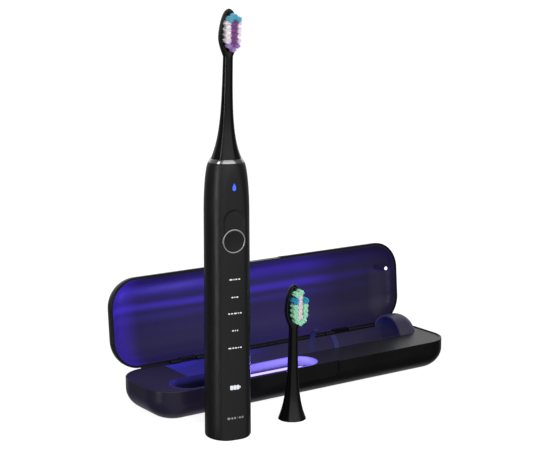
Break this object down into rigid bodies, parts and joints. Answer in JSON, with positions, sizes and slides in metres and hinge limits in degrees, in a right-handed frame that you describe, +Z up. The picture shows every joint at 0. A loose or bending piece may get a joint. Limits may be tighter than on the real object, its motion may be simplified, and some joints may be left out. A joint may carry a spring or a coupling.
{
  "type": "electric toothbrush with charging case",
  "caption": "Sonic toothbrush standing beside its open UV charging case, with a spare head; lid hinges, heads pull off, power button presses.",
  "frame": {"origin": "centre of the case's foot pad, on the surface the set stands on", "axes": "+X along the case towards its charging end, +Y towards the lid's hinge, +Z up"},
  "size_m": [0.23, 0.1209, 0.248],
  "materials": {
    "case_black": "satin moulded ABS",
    "deck_grey": "fine-textured ABS",
    "liner_black": "semi-gloss ABS",
    "handle_black": "soft satin ABS",
    "head_black": "moulded polypropylene",
    "button_black": "satin ABS",
    "chrome_trim": "bright chrome plate",
    "steel": "plain steel",
    "black_rubber": "moulded silicone rubber",
    "smoked_lamp": "smoked polycarbonate over white lamps",
    "blue_lamp": "lit polycarbonate",
    "uv_lamp": "lit frosted polycarbonate",
    "led_white": "LED package",
    "circuit_board": "solder mask",
    "chip_black": "moulded epoxy",
    "copper": "enamelled winding and nickel strip",
    "ferrite": "pressed ferrite",
    "cell_wrap": "shrink sleeve",
    "natural_nylon": "natural moulding",
    "clear_guide": "clear acrylic",
    "bristle_blue": "nylon bristle",
    "bristle_white": "nylon bristle",
    "bristle_purple": "nylon bristle",
    "bristle_lilac": "nylon bristle",
    "bristle_mint": "nylon bristle",
    "bristle_teal": "nylon bristle"
  },
  "bodies": {
    "case": {"base_shell": "case_black", "foot_pad": "black_rubber", "status_window": "smoked_lamp", "usb_c_socket": "steel", "deck_plate": "deck_grey", "handle_trough": "deck_grey", "foot_trough": "deck_grey", "head_trough": "deck_grey", "charging_hood": "deck_grey", "handle_clip": "deck_grey", "charge_coil": "copper", "coil_core": "ferrite", "case_board": "circuit_board", "board_chips": "chip_black", "case_battery": "cell_wrap", "uv_board": "circuit_board", "uv_leds": "led_white", "uv_window": "uv_lamp", "deck_screws": "steel", "hinge_pins": "steel"},
    "lid": {"lid_shell": "case_black", "lid_liner": "liner_black", "lid_sense_magnet": "chrome_trim"},
    "handle": {"handle_shell": "handle_black", "handle_end_cap": "handle_black", "end_cap_seal": "black_rubber", "collar_ring": "chrome_trim", "shaft_seal": "black_rubber", "motor_housing": "steel", "motor_windings": "copper", "shaft_bearings": "copper", "inner_chassis": "natural_nylon", "battery_cell": "cell_wrap", "battery_tabs": "copper", "main_board": "circuit_board", "button_switch": "chip_black", "board_leds": "led_white", "light_guide": "clear_guide", "mode_lamp_windows": "smoked_lamp", "battery_lamp_window": "smoked_lamp", "power_lamp_window": "blue_lamp", "button_bezel": "chrome_trim", "receiving_coil": "copper", "ferrite_core": "ferrite"},
    "power_button": {"power_button": "button_black"},
    "drive_shaft": {"drive_shaft": "steel", "motor_magnets": "chrome_trim"},
    "brush_head": {"head_shell": "head_black", "head_socket": "natural_nylon", "retaining_spring": "steel", "tufts_blue": "bristle_blue", "tufts_white": "bristle_white", "tufts_purple": "bristle_purple", "tufts_lilac": "bristle_lilac"},
    "spare_head": {"spare_head_shell": "head_black", "spare_head_socket": "natural_nylon", "spare_retaining_spring": "steel", "spare_tufts_mint": "bristle_mint", "spare_tufts_teal": "bristle_teal", "spare_tufts_white": "bristle_white"}
  },
  "joints": [
    {"name": "lid_hinge", "type": "hinge", "parent": "case", "child": "lid", "pos_m": [0, 0.029, 0.02125], "axis": [1, 0, 0], "range_deg": [0, 94.6]},
    {"name": "handle_lift", "type": "slide", "parent": "case", "child": "handle", "axis": [0, 0, 1], "range_m": [0, 0.12]},
    {"name": "button_press", "type": "slide", "parent": "handle", "child": "power_button", "axis": [0.1736, 0.9848, 0], "range_m": [0, 0.0006], "stiffness_N_per_m": 600},
    {"name": "shaft_swing", "type": "hinge", "parent": "handle", "child": "drive_shaft", "pos_m": [-0.0868, -0.0575, 0.15], "axis": [0, 0, 1], "range_deg": [-5, 5], "stiffness_Nm_per_rad": 0.05},
    {"name": "head_pull", "type": "slide", "parent": "drive_shaft", "child": "brush_head", "axis": [0, 0, 1], "range_m": [0, 0.03]},
    {"name": "spare_lift", "type": "slide", "parent": "case", "child": "spare_head", "axis": [0, 0, 1], "range_m": [0, 0.12]}
  ]
}
